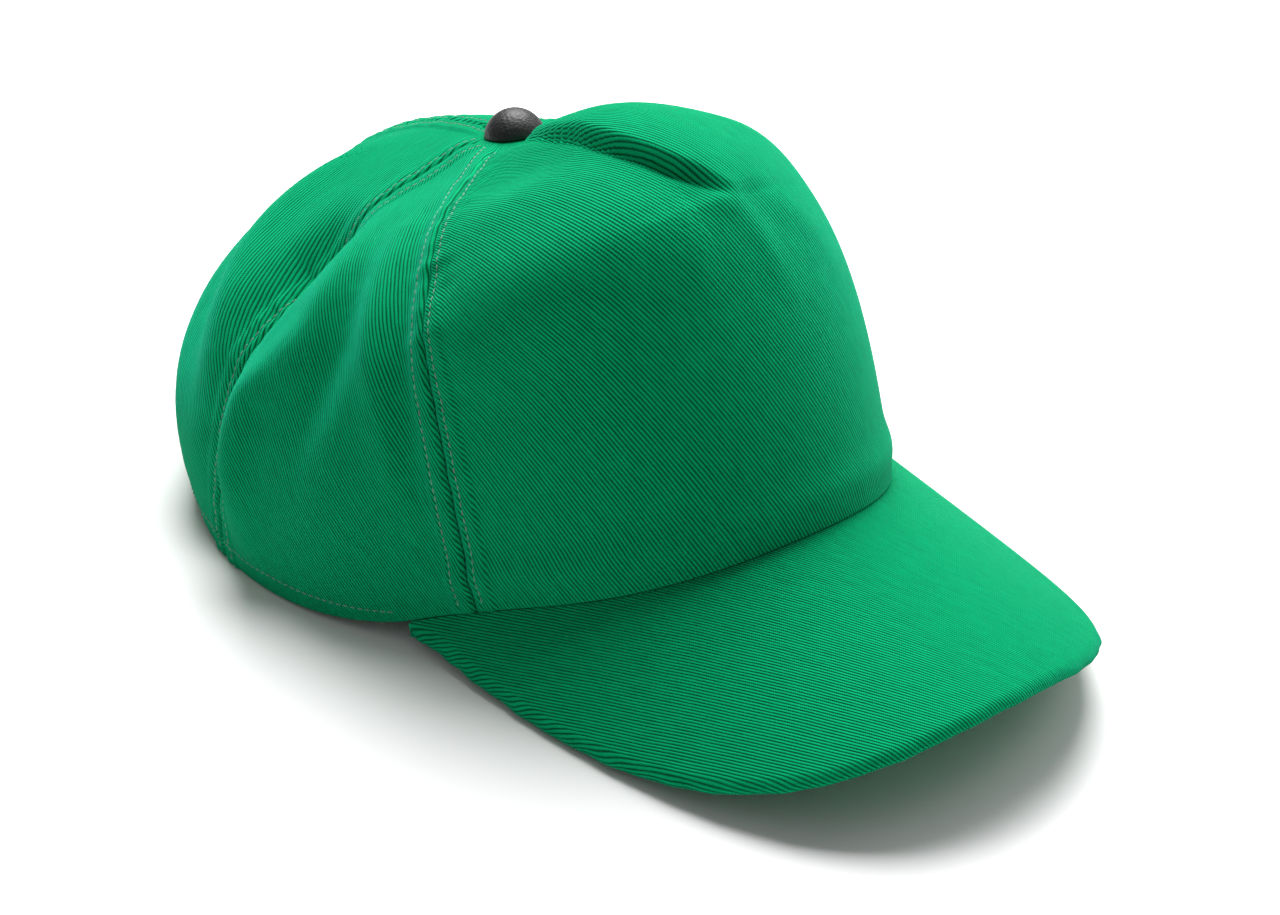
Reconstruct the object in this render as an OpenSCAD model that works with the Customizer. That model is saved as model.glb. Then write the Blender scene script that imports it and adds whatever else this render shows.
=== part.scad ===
// Five-panel cotton twill cap with a stiff front, a curved bill, a covered button and a snap strap.
// Millimetres. The forehead faces -Y, the wearer's left is +X and +Z is up.
// The origin is on the ground, under the middle of the cap's length.
// The crown is drawn in its own upright frame, in angles round the head (0 at the forehead)
// and in t from 0 at the hem to 1 under the button. It is then leant back on its bill.

/* [Crown size] */
// From the crown's upright axis to the hem at the forehead
front_reach = 92; // [86:1:98]
// From the axis to the hem over the ear
side_reach = 83.5; // [78:0.5:90]
// From the axis to the hem at the nape
back_reach = 110.5; // [104:0.5:118]
// How far the hem swells out behind the temples
temple_fullness = 20.5; // [12:0.5:24]
// How much the hem is squared off between front, sides and back
corner_flat = 0.7; // [0:0.1:2]
// Height of the button's seat over the hem at the forehead
top_height = 89; // [78:1:104]
// How far behind the axis the button sits
top_shift = 6; // [0:0.5:12]
// Angle that the crown leans back when the cap stands on its bill
crown_lean = 15; // [8:0.5:18]
// Height of the nape's hem over the forehead's hem, along the crown's axis
nape_rise = 25.5; // [18:0.5:30]

/* [Crown shape] */
// Length of upright wall at the forehead
wall_front = 74; // [64:1:82]
// Length of upright wall over the ear
wall_side = 56; // [46:1:64]
// Length of upright wall at the nape
wall_back = 49.5; // [42:0.5:58]
// How far the wall flares out at the forehead
flare_front = 0.3; // [0:0.1:4]
// How far the wall flares out over the ear
flare_side = 7.3; // [2:0.1:10]
// How far the wall flares out at the nape
flare_back = 7; // [2:0.1:10]
// Reach of the roof towards the forehead
roof_front = 73; // [62:1:82]
// Reach of the roof towards the ear
roof_side = 67; // [58:1:74]
// Reach of the roof towards the nape
roof_back = 52.5; // [46:0.5:62]
// Height of the roof's shoulder over the button's seat at the forehead
lift_front = 30.5; // [12:0.5:34]
// Height of the roof's shoulder over the button's seat at the ear
lift_side = -10.5; // [-14:0.5:4]
// Height of the roof's shoulder over the button's seat at the nape
lift_back = 8; // [-4:0.5:14]

/* [Panels] */
// Angle of the two seams beside the front panel
front_seam = 58.5; // [52:0.5:64]
// Angle of the two seams between side and rear panels
side_seam = 113; // [106:0.5:120]
// Thickness of the cotton twill
cloth_t = 0.9; // [0.6:0.1:1.2]
// Thickness of the stiffener behind the front panel
backing_t = 0.8; // [0.5:0.1:1.2]
// Width of the tapes that cover the seams inside
tape_w = 10; // [8:0.5:13]
// Thickness of the seam tapes
tape_t = 0.6; // [0.4:0.1:0.8]
// Air between sewn layers
layer_gap = 0.1; // [0.05:0.05:0.2]
// Room for the turned edges that a tape or a strap lies on
turning_gap = 0.4; // [0.3:0.05:0.6]

/* [Back opening] */
// Half of the back opening's width, as an angle round the head
arch_half = 27; // [24:0.5:30]
// Top of the back opening, as a share of the way from hem to button
arch_top = 0.36; // [0.3:0.01:0.42]
// Width of the binding inside the opening's edge
binding_w = 8; // [6:0.5:10]

/* [Sweatband] */
// Height of the sweatband
band_h = 31; // [26:1:36]
// Thickness of the sweatband's cloth
band_t = 0.9; // [0.6:0.1:1.2]
// Thickness of the foam strip under the sweatband
core_t = 0.7; // [0.5:0.1:1]

/* [Bill] */
// Angle round the head at which the bill's corners are sewn
bill_angle = 74; // [68:0.5:78]
// From the crown's axis to the bill's front edge
bill_reach = 155; // [146:1:166]
// Fall of the bill for each millimetre forwards
bill_slope = 0.4; // [0.32:0.01:0.44]
// Roundness of the bill from side to side, per millimetre
bill_curve = 0.0073; // [0.006:0.0001:0.0078]
// How far the bill's edge runs forwards before it turns in
bill_side_run = 23; // [16:1:34]
// Angle at which the bill's edge leaves its corner, negative inwards
bill_corner_turn = -9.5; // [-16:0.5:0]
// How wide the bill's front edge stays flat
bill_front_run = 78; // [64:1:88]
// Whole thickness of the bill
bill_t = 3.5; // [3:0.1:4.5]
// Thickness of the cloth on the bill
bill_cloth_t = 0.7; // [0.5:0.1:1]
// How far the bill reaches in under the crown's hem
bill_tuck = 3.5; // [2.5:0.5:5]

/* [Button] */
// Radius of the button
button_r = 7.8; // [6.5:0.1:9]
// Height of the button's dome
button_h = 6.6; // [5:0.1:7.5]
// Angle that the button leans back
button_lean = 12; // [6:1:16]
// Radius of the rivet that holds the button
rivet_r = 1.6; // [1.2:0.1:2]
// Radius of the washer inside the crown
washer_r = 6.5; // [5.5:0.1:7.5]

/* [Snap strap] */
// Height of the plastic straps
strap_h = 17; // [14:0.5:19]
// Thickness of the plastic straps
strap_t = 1; // [0.8:0.1:1.3]
// From the middle of the nape to each strap's hinge line
strap_root = 44; // [40:0.5:46]
// How far each strap passes the middle of the nape
strap_overlap = 23; // [20:0.5:26]
// Distance between snap holes
snap_pitch = 9; // [8:0.25:10]
// Number of snap pegs and holes on each strap
snap_count = 6; // [4:1:6]
// Radius of the snap pegs
peg_r = 1.6; // [1.2:0.1:1.8]
// Clearance round a snap peg in its hole
peg_gap = 0.8; // [0.6:0.05:1]
// Gap between the two straps where they overlap
strap_gap = 0.4; // [0.3:0.05:0.6]
// Most length of strap that is sewn under the rear panel, as an angle
tab_angle = 11; // [7:0.5:14]

/* [Hidden] */

// Share of the way to the button at which the tapes end, outside the washer
tape_top = 0.9;
// Half of the hairline between two panels' cut edges, as an angle
seam_hair = 0.05;
// Steps of the meshes up to the tapes' ends, and round the head. Layers share them, so they nest.
rise_steps = 16;
front_steps = 8;
side_steps = 5;
rear_steps = 8;
arch_steps = 6;
// Shares above the tapes' ends: down into the seat, its rim, and the panels' ends round the rivet
seat_shares = [0.93, 0.955, 0.982];
// Radii between which the crown rises out of the flat seat under the button
seat_inner = 7;
seat_outer = 26;
// Depth of each layer under the crown's outer face
lining_depth = cloth_t + layer_gap;
tape_depth = lining_depth + backing_t + turning_gap;
strap_depth = cloth_t + turning_gap + 2 * layer_gap;
core_depth = max(tape_depth + tape_t, strap_depth + strap_t) + layer_gap;
band_depth = core_depth + core_t + layer_gap;
label_depth = band_depth + band_t + layer_gap;
// Angle at which the bill's meshes stop, just short of its sewn corners
bill_end = bill_angle - 1.2;

function smooth(x) = let (s = min(max(x, 0), 1)) s * s * (3 - 2 * s);
function mix(a, b, s) = a + (b - a) * s;
function spread(a, b, n) = [for (i = [0:n]) mix(a, b, i / n)];
function tail(list) = [for (i = [1:len(list) - 1]) list[i]];
function unit(v) = v / norm(v);

// A value that is f at the forehead, s over the ears and b at the nape
function round_head(phi, f, s, b) = ((f + b) / 2 + s) / 2 + (f - b) / 2 * cos(phi)
    + ((f + b) / 2 - s) / 2 * cos(2 * phi);

// The hem's curve and height in the crown's upright frame
function hem_radius(phi) = round_head(phi, front_reach, side_reach, back_reach)
    + corner_flat * (cos(4 * phi) - 1) - temple_fullness * cos(phi) * pow(sin(phi), 2);
function hem_xy(phi) = hem_radius(phi) * [sin(phi), -cos(phi)];
function bill_height(xy) = -bill_slope * (-xy[1] - front_reach) - bill_curve * xy[0] * xy[0];
function ear_angle(phi) = let (a = abs(phi)) a > 180 ? 360 - a : a;
function nape_hem(a) = let (
        corner = bill_height(hem_xy(bill_angle)),
        before = bill_height(hem_xy(bill_angle - 0.1)),
        fall = (corner - before) / 0.1 * (180 - bill_angle) / 2,
        s = (a - bill_angle) / (180 - bill_angle))
    mix(corner, nape_rise, smooth(s)) + (s - 2 * s * s + s * s * s) * fall;
function hem_height(phi) = let (a = ear_angle(phi))
    a < bill_angle ? bill_height(hem_xy(a)) : nape_hem(a);

// Height of the straight lower wall round the head
function wall_height(phi) = round_head(phi, wall_front, wall_side, wall_back);
// Share of the way to the button that is about h millimetres above the hem
function share_at(phi, h) = h / (3 * wall_height(phi));

// The crown's outer face in its upright frame, before the button presses its seat flat
function bare_crown(phi, t) = let (
        r = hem_radius(phi),
        z = hem_height(phi),
        b0 = pow(1 - t, 3),
        b1 = 3 * t * pow(1 - t, 2),
        b2 = 3 * t * t * (1 - t),
        b3 = pow(t, 3),
        out = b0 * r + b1 * (r + round_head(phi, flare_front, flare_side, flare_back))
            + b2 * round_head(phi, roof_front, roof_side, roof_back),
        up = b0 * z + b1 * (z + wall_height(phi))
            + b2 * (top_height + round_head(phi, lift_front, lift_side, lift_back)) + b3 * top_height)
    [out * sin(phi), top_shift * t * t * (3 - 2 * t) - out * cos(phi), up];
seat = [0, top_shift, top_height];
seat_axis = [0, sin(button_lean - crown_lean), cos(button_lean - crown_lean)];
function crown(phi, t) = let (
        p = bare_crown(phi, t),
        h = (p - seat) * seat_axis,
        away = norm(p - seat - h * seat_axis))
    p - seat_axis * h * (1 - smooth((away - seat_inner) / (seat_outer - seat_inner)));

// The bill's half outline in plan, from its corner to the middle of its front
function bill_outline(phi) = let (
        u = 1 - abs(phi) / bill_angle,
        corner = hem_xy(bill_angle),
        side = corner + bill_side_run * [sin(bill_corner_turn), -cos(bill_corner_turn)],
        front = [bill_front_run, -bill_reach],
        middle = [0, -bill_reach],
        p = pow(1 - u, 3) * corner + 3 * u * pow(1 - u, 2) * side
            + 3 * u * u * (1 - u) * front + pow(u, 3) * middle)
    [phi < 0 ? -p[0] : p[0], p[1]];
// A point on the bill: w is 0 at the hem and 1 at the edge, -1 at the end of the tuck
function bare_bill(phi, w, down) = let (
        inner = hem_xy(phi),
        xy = w < 0 ? inner * (1 + w * bill_tuck / hem_radius(phi)) : mix(inner, bill_outline(phi), w),
        top = w < 0 ? hem_height(phi) : bill_height(xy))
    [xy[0], xy[1], top - layer_gap - down];

// Stand the cap on its bill, then move it over the origin
function lean(p) = [p[0], p[1] * cos(crown_lean) + p[2] * sin(crown_lean),
    p[2] * cos(crown_lean) - p[1] * sin(crown_lean)];
front_angles = spread(seam_hair, front_seam - seam_hair, front_steps);
side_angles = concat(spread(front_seam + seam_hair, bill_end, 3),
    tail(spread(bill_end, side_seam - seam_hair, side_steps)));
arch_angles = [for (i = [0:arch_steps]) 180 - arch_half * cos(90 * i / arch_steps)];
rear_corner_angles = spread(side_seam + seam_hair, 180 - arch_half, rear_steps);
rear_angles = concat(rear_corner_angles, [for (a = tail(arch_angles)) min(a, 180 - seam_hair)]);
crown_sample = [for (phi = concat(side_angles, rear_angles), t = spread(0, 1, 20)) lean(crown(phi, t))];
bill_sample = [for (phi = spread(-bill_angle, bill_angle, 40)) lean(bare_bill(phi, 1, bill_t))];
low_z = min([for (p = concat(crown_sample, bill_sample)) p[2]]);
back_y = max([for (p = crown_sample) p[1]]);
front_y = min([for (p = bill_sample) p[1]]);
ground = [0, (front_y + back_y) / 2, low_z];
function place(p) = lean(p) - ground;

// A point under the crown's outer face, depth millimetres in
function face(phi, t) = place(crown(phi, t));
function outward(phi, t) = unit(cross(face(phi + 0.05, t) - face(phi - 0.05, t),
    face(phi, t + 0.001) - face(phi, t - 0.001)));
function under(phi, t, depth) = face(phi, t) - depth * outward(phi, t);

// A closed solid between an outer and an inner sheet of points, given as rows
module solid(outer, inner) {
    rows = len(outer);
    cols = len(outer[0]);
    function o(i, j) = i * cols + j;
    function n(i, j) = (rows + i) * cols + j;
    cells = [for (i = [0:rows - 2], j = [0:cols - 2]) [i, j]];
    quads = concat(
        [for (c = cells) [o(c[0], c[1]), o(c[0] + 1, c[1]), o(c[0] + 1, c[1] + 1), o(c[0], c[1] + 1)]],
        [for (c = cells) [n(c[0], c[1]), n(c[0], c[1] + 1), n(c[0] + 1, c[1] + 1), n(c[0] + 1, c[1])]],
        [for (i = [0:rows - 2]) [o(i, 0), n(i, 0), n(i + 1, 0), o(i + 1, 0)]],
        [for (i = [0:rows - 2]) [o(i, cols - 1), o(i + 1, cols - 1), n(i + 1, cols - 1), n(i, cols - 1)]],
        [for (j = [0:cols - 2]) [o(0, j), o(0, j + 1), n(0, j + 1), n(0, j)]],
        [for (j = [0:cols - 2]) [o(rows - 1, j), n(rows - 1, j), n(rows - 1, j + 1), o(rows - 1, j + 1)]]);
    faces = [for (q = quads) each [[q[0], q[2], q[1]], [q[0], q[3], q[2]]]];
    polyhedron([for (r = concat(outer, inner)) each r], faces, convexity = 10);
}

// A layer of the crown between two depths, over a grid of [angle, share] pairs
module layer(grid, depth, thick) {
    solid([for (row = grid) [for (c = row) under(c[0], c[1], depth)]],
        [for (row = grid) [for (c = row) under(c[0], c[1], depth + thick)]]);
}

// Grid of a panel from its lower edge to the button
function arch_share(phi) = let (a = (180 - ear_angle(phi)) / arch_half)
    a < 1 ? arch_top * sqrt(1 - a * a) : 0;
function panel_shares(phi) = concat(spread(arch_share(phi), tape_top, rise_steps), seat_shares);
function panel_grid(angles) = [for (phi = angles) [for (t = panel_shares(phi)) [phi, t]]];
// Half of a width in millimetres, as an angle at that place on the crown
function half_angle(phi, t, w) = let (p = crown(phi, t) - [0, top_shift * t * t * (3 - 2 * t), 0])
    w / 2 / norm([p[0], p[1]]) * 180 / PI;

module side_panel() {
    layer(panel_grid(side_angles), 0, cloth_t);
}

module rear_panel() {
    layer(panel_grid(rear_angles), 0, cloth_t);
}

module seam_tape(seam, low) {
    layer([for (side = [-1:1]) [for (t = spread(low, tape_top, rise_steps))
        [seam + side * half_angle(seam, t, tape_w), t]]], tape_depth, tape_t);
}

whole_front = concat([for (i = [front_steps:-1:1]) -front_angles[i]], [0], tail(front_angles));
module front_panel() {
    color("mediumseagreen") layer(panel_grid(whole_front), 0, cloth_t);
}

module front_backing() {
    color("whitesmoke") layer([for (phi = whole_front) [for (t = spread(0, tape_top, rise_steps)) [phi, t]]],
        lining_depth, backing_t);
}

module side_panel_left() {
    color("seagreen") side_panel();
}

module side_panel_right() {
    color("seagreen") mirror([1, 0, 0]) side_panel();
}

module rear_panel_left() {
    color("mediumseagreen") rear_panel();
}

module rear_panel_right() {
    color("mediumseagreen") mirror([1, 0, 0]) rear_panel();
}

module seam_tape_front_left() {
    color("dimgray") seam_tape(front_seam, 0.01);
}

module seam_tape_front_right() {
    color("dimgray") mirror([1, 0, 0]) seam_tape(front_seam, 0.01);
}

module seam_tape_side_left() {
    color("dimgray") seam_tape(side_seam, 0.01);
}

module seam_tape_side_right() {
    color("dimgray") mirror([1, 0, 0]) seam_tape(side_seam, 0.01);
}

// The back tape starts above the binding of the opening
binding_share = share_at(180, binding_w);
module seam_tape_back() {
    color("dimgray") seam_tape(180, arch_top + binding_share + 0.01);
}

// The binding stops above the straps, which are sewn in at the opening's corners
strap_low = share_at(180, 1);
strap_high = strap_low + share_at(180, strap_h);
binding_angles = [for (a = arch_angles) if (arch_share(a) > strap_high + 0.01) a];
module back_arch_binding() {
    angles = concat(binding_angles, [for (i = [len(binding_angles) - 2:-1:0]) 360 - binding_angles[i]]);
    color("dimgray") layer([for (phi = angles)
        [for (t = spread(arch_share(phi) - 0.004, arch_share(phi) + binding_share, 2)) [phi, t]]],
        strap_depth, tape_t);
}

// Grid of the bill, from the wearer's left corner to the right one
bill_rows = concat([for (i = [3:-1:1]) side_angles[i]], [for (i = [front_steps:-1:1]) front_angles[i]],
    [0], tail(front_angles) * -1, [for (i = [1:3]) -side_angles[i]]);
bill_shares = concat([-1], spread(0, 0.97, 6));
function bill_sheet(down) = [for (phi = bill_rows) [for (w = bill_shares) place(bare_bill(phi, w, down))]];
function bill_rim(inset, downs) = [for (phi = bill_rows) [for (down = downs)
    place(bare_bill(phi, 1 - inset, down))]];
function joined(a, b) = [for (i = [0:len(a) - 1]) concat(a[i], b[i])];

board_top = bill_cloth_t + layer_gap;
board_end = bill_t - bill_cloth_t - layer_gap;
rim_split = bill_t / 2;
// Share of the bill's depth that the rolled rim takes, outside the board
rim_inner = 0.028;

module bill_board() {
    color("white") solid(bill_sheet(board_top), bill_sheet(board_end));
}

module bill_top_cover() {
    color("mediumseagreen") solid(
        joined(bill_sheet(0), bill_rim(0, [0.3, rim_split - layer_gap])),
        joined(bill_sheet(bill_cloth_t),
            bill_rim(rim_inner, [bill_cloth_t + 0.3, rim_split - layer_gap])));
}

module bill_under_cover() {
    color("seagreen") solid(
        joined(bill_sheet(bill_t - bill_cloth_t),
            bill_rim(rim_inner, [bill_t - bill_cloth_t - 0.3, rim_split])),
        joined(bill_sheet(bill_t), bill_rim(0, [bill_t - 0.3, rim_split])));
}

// The sweatband runs from one side of the back opening round the forehead to the other
band_angles = let (half = concat(tail(front_angles), tail(side_angles),
        [for (i = [1:rear_steps - 1]) rear_corner_angles[i]]))
    concat([for (i = [len(half) - 1:-1:0]) -half[i]], [0], half);
core_margin = 3;
core_heights = [core_margin, band_h / 2, band_h - core_margin];
function band_grid(heights) = [for (phi = band_angles) [for (h = heights) [phi, share_at(phi, h)]]];

module sweatband() {
    color("black") layer(band_grid(concat([0.3], core_heights, [band_h])), band_depth, band_t);
}

module sweatband_core() {
    color("gray") layer(band_grid(core_heights), core_depth, core_t);
}

// The button stands on the flat seat at the top of the crown
module on_seat() {
    translate(place(seat)) rotate([-button_lean, 0, 0]) children();
}

module dome(r, h) {
    ball = (r * r + h * h) / (2 * h);
    rotate_extrude($fn = 64) intersection() {
        translate([0, h - ball]) circle(ball);
        square([r, h]);
    }
}

module button_cover() {
    skin = 0.8;
    color("black") on_seat() translate([0, 0, layer_gap]) difference() {
        dome(button_r, button_h);
        translate([0, 0, -skin]) dome(button_r - skin, button_h);
    }
}

module button_shell() {
    skin = 0.8 + layer_gap;
    wall = 0.7;
    washer_low = core_depth + 0.8;
    color("silver") on_seat() union() {
        difference() {
            translate([0, 0, layer_gap]) dome(button_r - skin, button_h - skin);
            translate([0, 0, -wall]) dome(button_r - skin - wall, button_h - skin);
        }
        translate([0, 0, -washer_low]) cylinder(h = washer_low + button_h - skin - wall, r = rivet_r, $fn = 48);
        translate([0, 0, -washer_low - 0.7]) cylinder(h = 0.7, r = rivet_r * 1.8, $fn = 48);
    }
}

module button_washer() {
    color("silver") on_seat() translate([0, 0, -core_depth - 0.7]) difference() {
        cylinder(h = 0.7, r = washer_r, $fn = 64);
        translate([0, 0, -1]) cylinder(h = 3, r = rivet_r + 0.15, $fn = 48);
    }
}

// The straps follow the hem. A place on them is s millimetres from the nape, towards the left.
function strap_phi(s) = 180 - s / back_reach * 180 / PI;
strap_mid = (strap_low + strap_high) / 2;
strap_half = (strap_high - strap_low) / 2;
root_gap = 0.8;
// Half height of a strap, d millimetres from its rounded tip
function tip_half(d) = let (r = strap_h / 2)
    d < r ? strap_half * sqrt(r * r - pow(r - d, 2)) / r : strap_half;
strap_runs = concat([0.4, 1.6, 4, strap_h / 2], tail(spread(strap_h / 2, strap_root + strap_overlap, 12)));
snap_places = [for (i = [0:snap_count - 1]) (i - (snap_count - 2) / 2) * snap_pitch];

// The outer strap steps outwards past its root, to pass over the inner one
function outer_depth(s) = strap_depth
    - (strap_t + strap_gap) * smooth((s + strap_root - 4) / 16);

module strap(left_root, depths) {
    side = left_root ? 1 : -1;
    places = [for (d = strap_runs) side * (d - strap_overlap)];
    order = left_root ? [len(places) - 1:-1:0] : [0:len(places) - 1];
    grid = [for (i = order) [for (k = [-1:1])
        [strap_phi(places[i]), strap_mid + k * tip_half(strap_runs[i]), depths[i]]]];
    solid([for (row = grid) [for (c = row) under(c[0], c[1], c[2])]],
        [for (row = grid) [for (c = row) under(c[0], c[1], c[2] + strap_t)]]);
}

// A round bar along the strap's own normal
module snap_bar(s, from, to, r) {
    phi = strap_phi(s);
    n = outward(phi, strap_mid);
    translate(under(phi, strap_mid, to)) rotate([0, acos(n[2]), atan2(n[1], n[0])])
        cylinder(h = to - from, r = r, $fn = 32);
}

module strap_holes() {
    color("black") difference() {
        strap(false, [for (d = strap_runs) outer_depth(strap_overlap - d)]);
        for (s = snap_places) snap_bar(-s, strap_depth - strap_t - 3, strap_depth + strap_t + 3,
            peg_r + peg_gap);
    }
}

module strap_pegs() {
    color("black") union() {
        strap(true, [for (d = strap_runs) strap_depth]);
        for (s = snap_places) snap_bar(s, strap_depth - strap_gap - strap_t - 0.2,
            strap_depth + strap_t / 2, peg_r);
    }
}

module strap_tab() {
    root = strap_phi(strap_root + root_gap);
    corner = 180 - arch_half;
    angles = concat([for (a = rear_corner_angles) if (a > corner - tab_angle) a],
        tail(spread(corner, root, 3)));
    layer([for (phi = angles) [for (k = [-1:1]) [phi, strap_mid + k * strap_half]]], strap_depth, strap_t);
}

module strap_tab_left() {
    color("black") strap_tab();
}

module strap_tab_right() {
    color("black") mirror([1, 0, 0]) strap_tab();
}

module care_label() {
    color("white") layer([for (i = [3:5]) let (phi = rear_corner_angles[i])
        [for (h = core_heights) [phi, share_at(phi, h)]]], label_depth, 0.4);
}

front_panel();
front_backing();
side_panel_left();
side_panel_right();
rear_panel_left();
rear_panel_right();
seam_tape_front_left();
seam_tape_front_right();
seam_tape_side_left();
seam_tape_side_right();
seam_tape_back();
back_arch_binding();
bill_board();
bill_top_cover();
bill_under_cover();
sweatband();
sweatband_core();
button_cover();
button_shell();
button_washer();
strap_tab_left();
strap_tab_right();
strap_holes();
strap_pegs();
care_label();
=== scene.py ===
import math

import bmesh
import bpy
import numpy as np
from mathutils import Matrix, Vector


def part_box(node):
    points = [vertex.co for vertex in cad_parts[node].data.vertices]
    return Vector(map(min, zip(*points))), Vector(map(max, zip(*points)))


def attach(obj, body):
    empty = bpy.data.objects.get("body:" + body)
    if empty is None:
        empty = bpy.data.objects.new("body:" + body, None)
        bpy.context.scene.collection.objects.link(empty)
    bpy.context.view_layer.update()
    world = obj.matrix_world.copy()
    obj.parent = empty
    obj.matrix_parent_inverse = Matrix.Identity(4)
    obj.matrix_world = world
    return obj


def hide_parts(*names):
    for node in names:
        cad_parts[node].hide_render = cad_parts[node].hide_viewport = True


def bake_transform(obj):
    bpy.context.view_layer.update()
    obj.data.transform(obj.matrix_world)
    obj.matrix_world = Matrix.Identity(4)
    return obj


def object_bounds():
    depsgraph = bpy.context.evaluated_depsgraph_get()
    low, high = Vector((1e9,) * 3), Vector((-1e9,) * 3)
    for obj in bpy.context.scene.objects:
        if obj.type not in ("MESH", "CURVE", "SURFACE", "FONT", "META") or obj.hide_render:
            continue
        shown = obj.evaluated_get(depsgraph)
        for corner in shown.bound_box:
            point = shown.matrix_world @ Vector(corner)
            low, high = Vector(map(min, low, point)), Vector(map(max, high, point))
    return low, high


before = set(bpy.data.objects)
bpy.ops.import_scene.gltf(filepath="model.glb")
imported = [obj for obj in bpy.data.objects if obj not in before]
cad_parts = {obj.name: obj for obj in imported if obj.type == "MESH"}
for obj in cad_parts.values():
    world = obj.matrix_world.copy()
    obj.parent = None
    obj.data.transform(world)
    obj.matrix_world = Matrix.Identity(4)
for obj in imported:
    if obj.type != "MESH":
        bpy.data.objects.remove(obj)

cad_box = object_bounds()

# ---------------------------------------------------------------------------
# Camera. It looks down at the cap from the front, over the wearer's right temple,
# as someone does who picks the cap up from a table.

VIEW_TURN = math.radians(-38.3)
VIEW_TILT = math.radians(31.1)
VIEW_DISTANCE = 0.780
box_low, box_high = (np.array(corner) for corner in cad_box)
box_middle = (box_low + box_high) / 2
look_at = Vector(box_middle + np.array([0.0323, 0.0385, -0.0655]))
toward_camera = Vector((math.sin(VIEW_TURN) * math.cos(VIEW_TILT),
                        -math.cos(VIEW_TURN) * math.cos(VIEW_TILT), math.sin(VIEW_TILT)))
camera = bpy.data.objects.new("camera", bpy.data.cameras.new("camera"))
camera.data.lens = 79.9
camera.data.sensor_width = 36.0
camera.location = look_at + VIEW_DISTANCE * toward_camera
camera.rotation_euler = toward_camera.to_track_quat("Z", "Y").to_euler()
bpy.context.scene.collection.objects.link(camera)
bpy.context.scene.camera = camera

# ---------------------------------------------------------------------------
# Front panel: one piece of green cotton twill, stiffened from behind and shaped by a dart
# that is sewn from the button down to the forehead. Its lower edge is turned under and sewn
# to the bill. The crown's shape is worked out here, because every other layer follows it.

BILL_ANGLE = math.radians(74)
BILL_SLOPE = 0.4
BILL_CURVE = 7.3
HEM_FRONT = 0.092
TOP_HEIGHT = 0.089
TOP_SHIFT = 0.006
CROWN_LEAN = math.radians(15)
NAPE_RISE = 0.0255
NAPE_REACH = 0.1105
NAPE_WALL = 0.0495
FRONT_SEAM = math.radians(58.5)
SIDE_SEAM = math.radians(113)
ARCH_HALF = math.radians(27)
ARCH_TOP = 0.36
SEAM_HAIR = math.radians(0.05)
PANEL_TOP = 0.982


def smooth(x):
    """A soft step from 0 to 1."""
    x = np.clip(x, 0, 1)
    return x * x * (3 - 2 * x)


def round_head(turn, front, side, back):
    """A value that changes evenly from the forehead over the ears to the nape."""
    return (((front + back) / 2 + side) / 2 + (front - back) / 2 * np.cos(turn)
            + ((front + back) / 2 - side) / 2 * np.cos(2 * turn))


def hem_radius(turn):
    """How far the hem is from the crown's axis."""
    return (round_head(turn, HEM_FRONT, 0.0835, NAPE_REACH) + 0.0007 * (np.cos(4 * turn) - 1)
            - 0.0205 * np.cos(turn) * np.sin(turn) ** 2)


def bill_height(x, y):
    """The bill slopes down to the front and curves down to both sides."""
    return BILL_SLOPE * (y + HEM_FRONT) - BILL_CURVE * x * x


def hem_under_bill(turn):
    reach = hem_radius(turn)
    return bill_height(reach * np.sin(turn), -reach * np.cos(turn))


def hem_height(turn):
    """Height of the hem: along the bill in front, then rising to the nape."""
    ear = np.abs((turn + math.pi) % (2 * math.pi) - math.pi)
    corner = hem_under_bill(BILL_ANGLE)
    step = math.radians(0.1)
    fall = (corner - hem_under_bill(BILL_ANGLE - step)) / step * (math.pi - BILL_ANGLE) / 2
    s = np.clip((ear - BILL_ANGLE) / (math.pi - BILL_ANGLE), 0, 1)
    nape = corner + (NAPE_RISE - corner) * smooth(s) + (s - 2 * s * s + s ** 3) * fall
    return np.where(ear < BILL_ANGLE, hem_under_bill(ear), nape)


def wall_height(turn):
    """How tall the crown's lower wall would be if it went on straight."""
    return round_head(turn, 0.074, 0.056, NAPE_WALL)


def upright_crown(turn, rise):
    """The crown's outer face. turn is the angle round the head and rise goes from hem to button."""
    b0, b1, b2, b3 = (1 - rise) ** 3, 3 * rise * (1 - rise) ** 2, 3 * rise ** 2 * (1 - rise), rise ** 3
    reach, low, wall = hem_radius(turn), hem_height(turn), wall_height(turn)
    out = (b0 * reach + b1 * (reach + round_head(turn, 0.0003, 0.0073, 0.007))
           + b2 * round_head(turn, 0.073, 0.067, 0.0525))
    up = (b0 * low + b1 * (low + wall) + b3 * TOP_HEIGHT
          + b2 * (TOP_HEIGHT + round_head(turn, 0.0305, -0.0105, 0.008)))
    bare = np.stack([out * np.sin(turn), TOP_SHIFT * smooth(rise) - out * np.cos(turn), up], -1)
    seat_tilt = math.radians(12) - CROWN_LEAN
    seat_axis = np.array([0, math.sin(seat_tilt), math.cos(seat_tilt)])
    from_seat = bare - np.array([0, TOP_SHIFT, TOP_HEIGHT])
    above = from_seat @ seat_axis
    away = np.linalg.norm(from_seat - above[..., None] * seat_axis, axis=-1)
    flat = above * (1 - smooth((away - 0.007) / 0.019))
    return bare - flat[..., None] * seat_axis


def lean_back(points):
    """Stands the cap on its bill."""
    c, s = math.cos(CROWN_LEAN), math.sin(CROWN_LEAN)
    x, y, z = np.moveaxis(points, -1, 0)
    return np.stack([x, y * c + z * s, z * c - y * s], -1)


def leant_face(turn, rise):
    turn, rise = np.broadcast_arrays(np.asarray(turn, float), np.asarray(rise, float))
    return lean_back(upright_crown(turn, rise))


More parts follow.
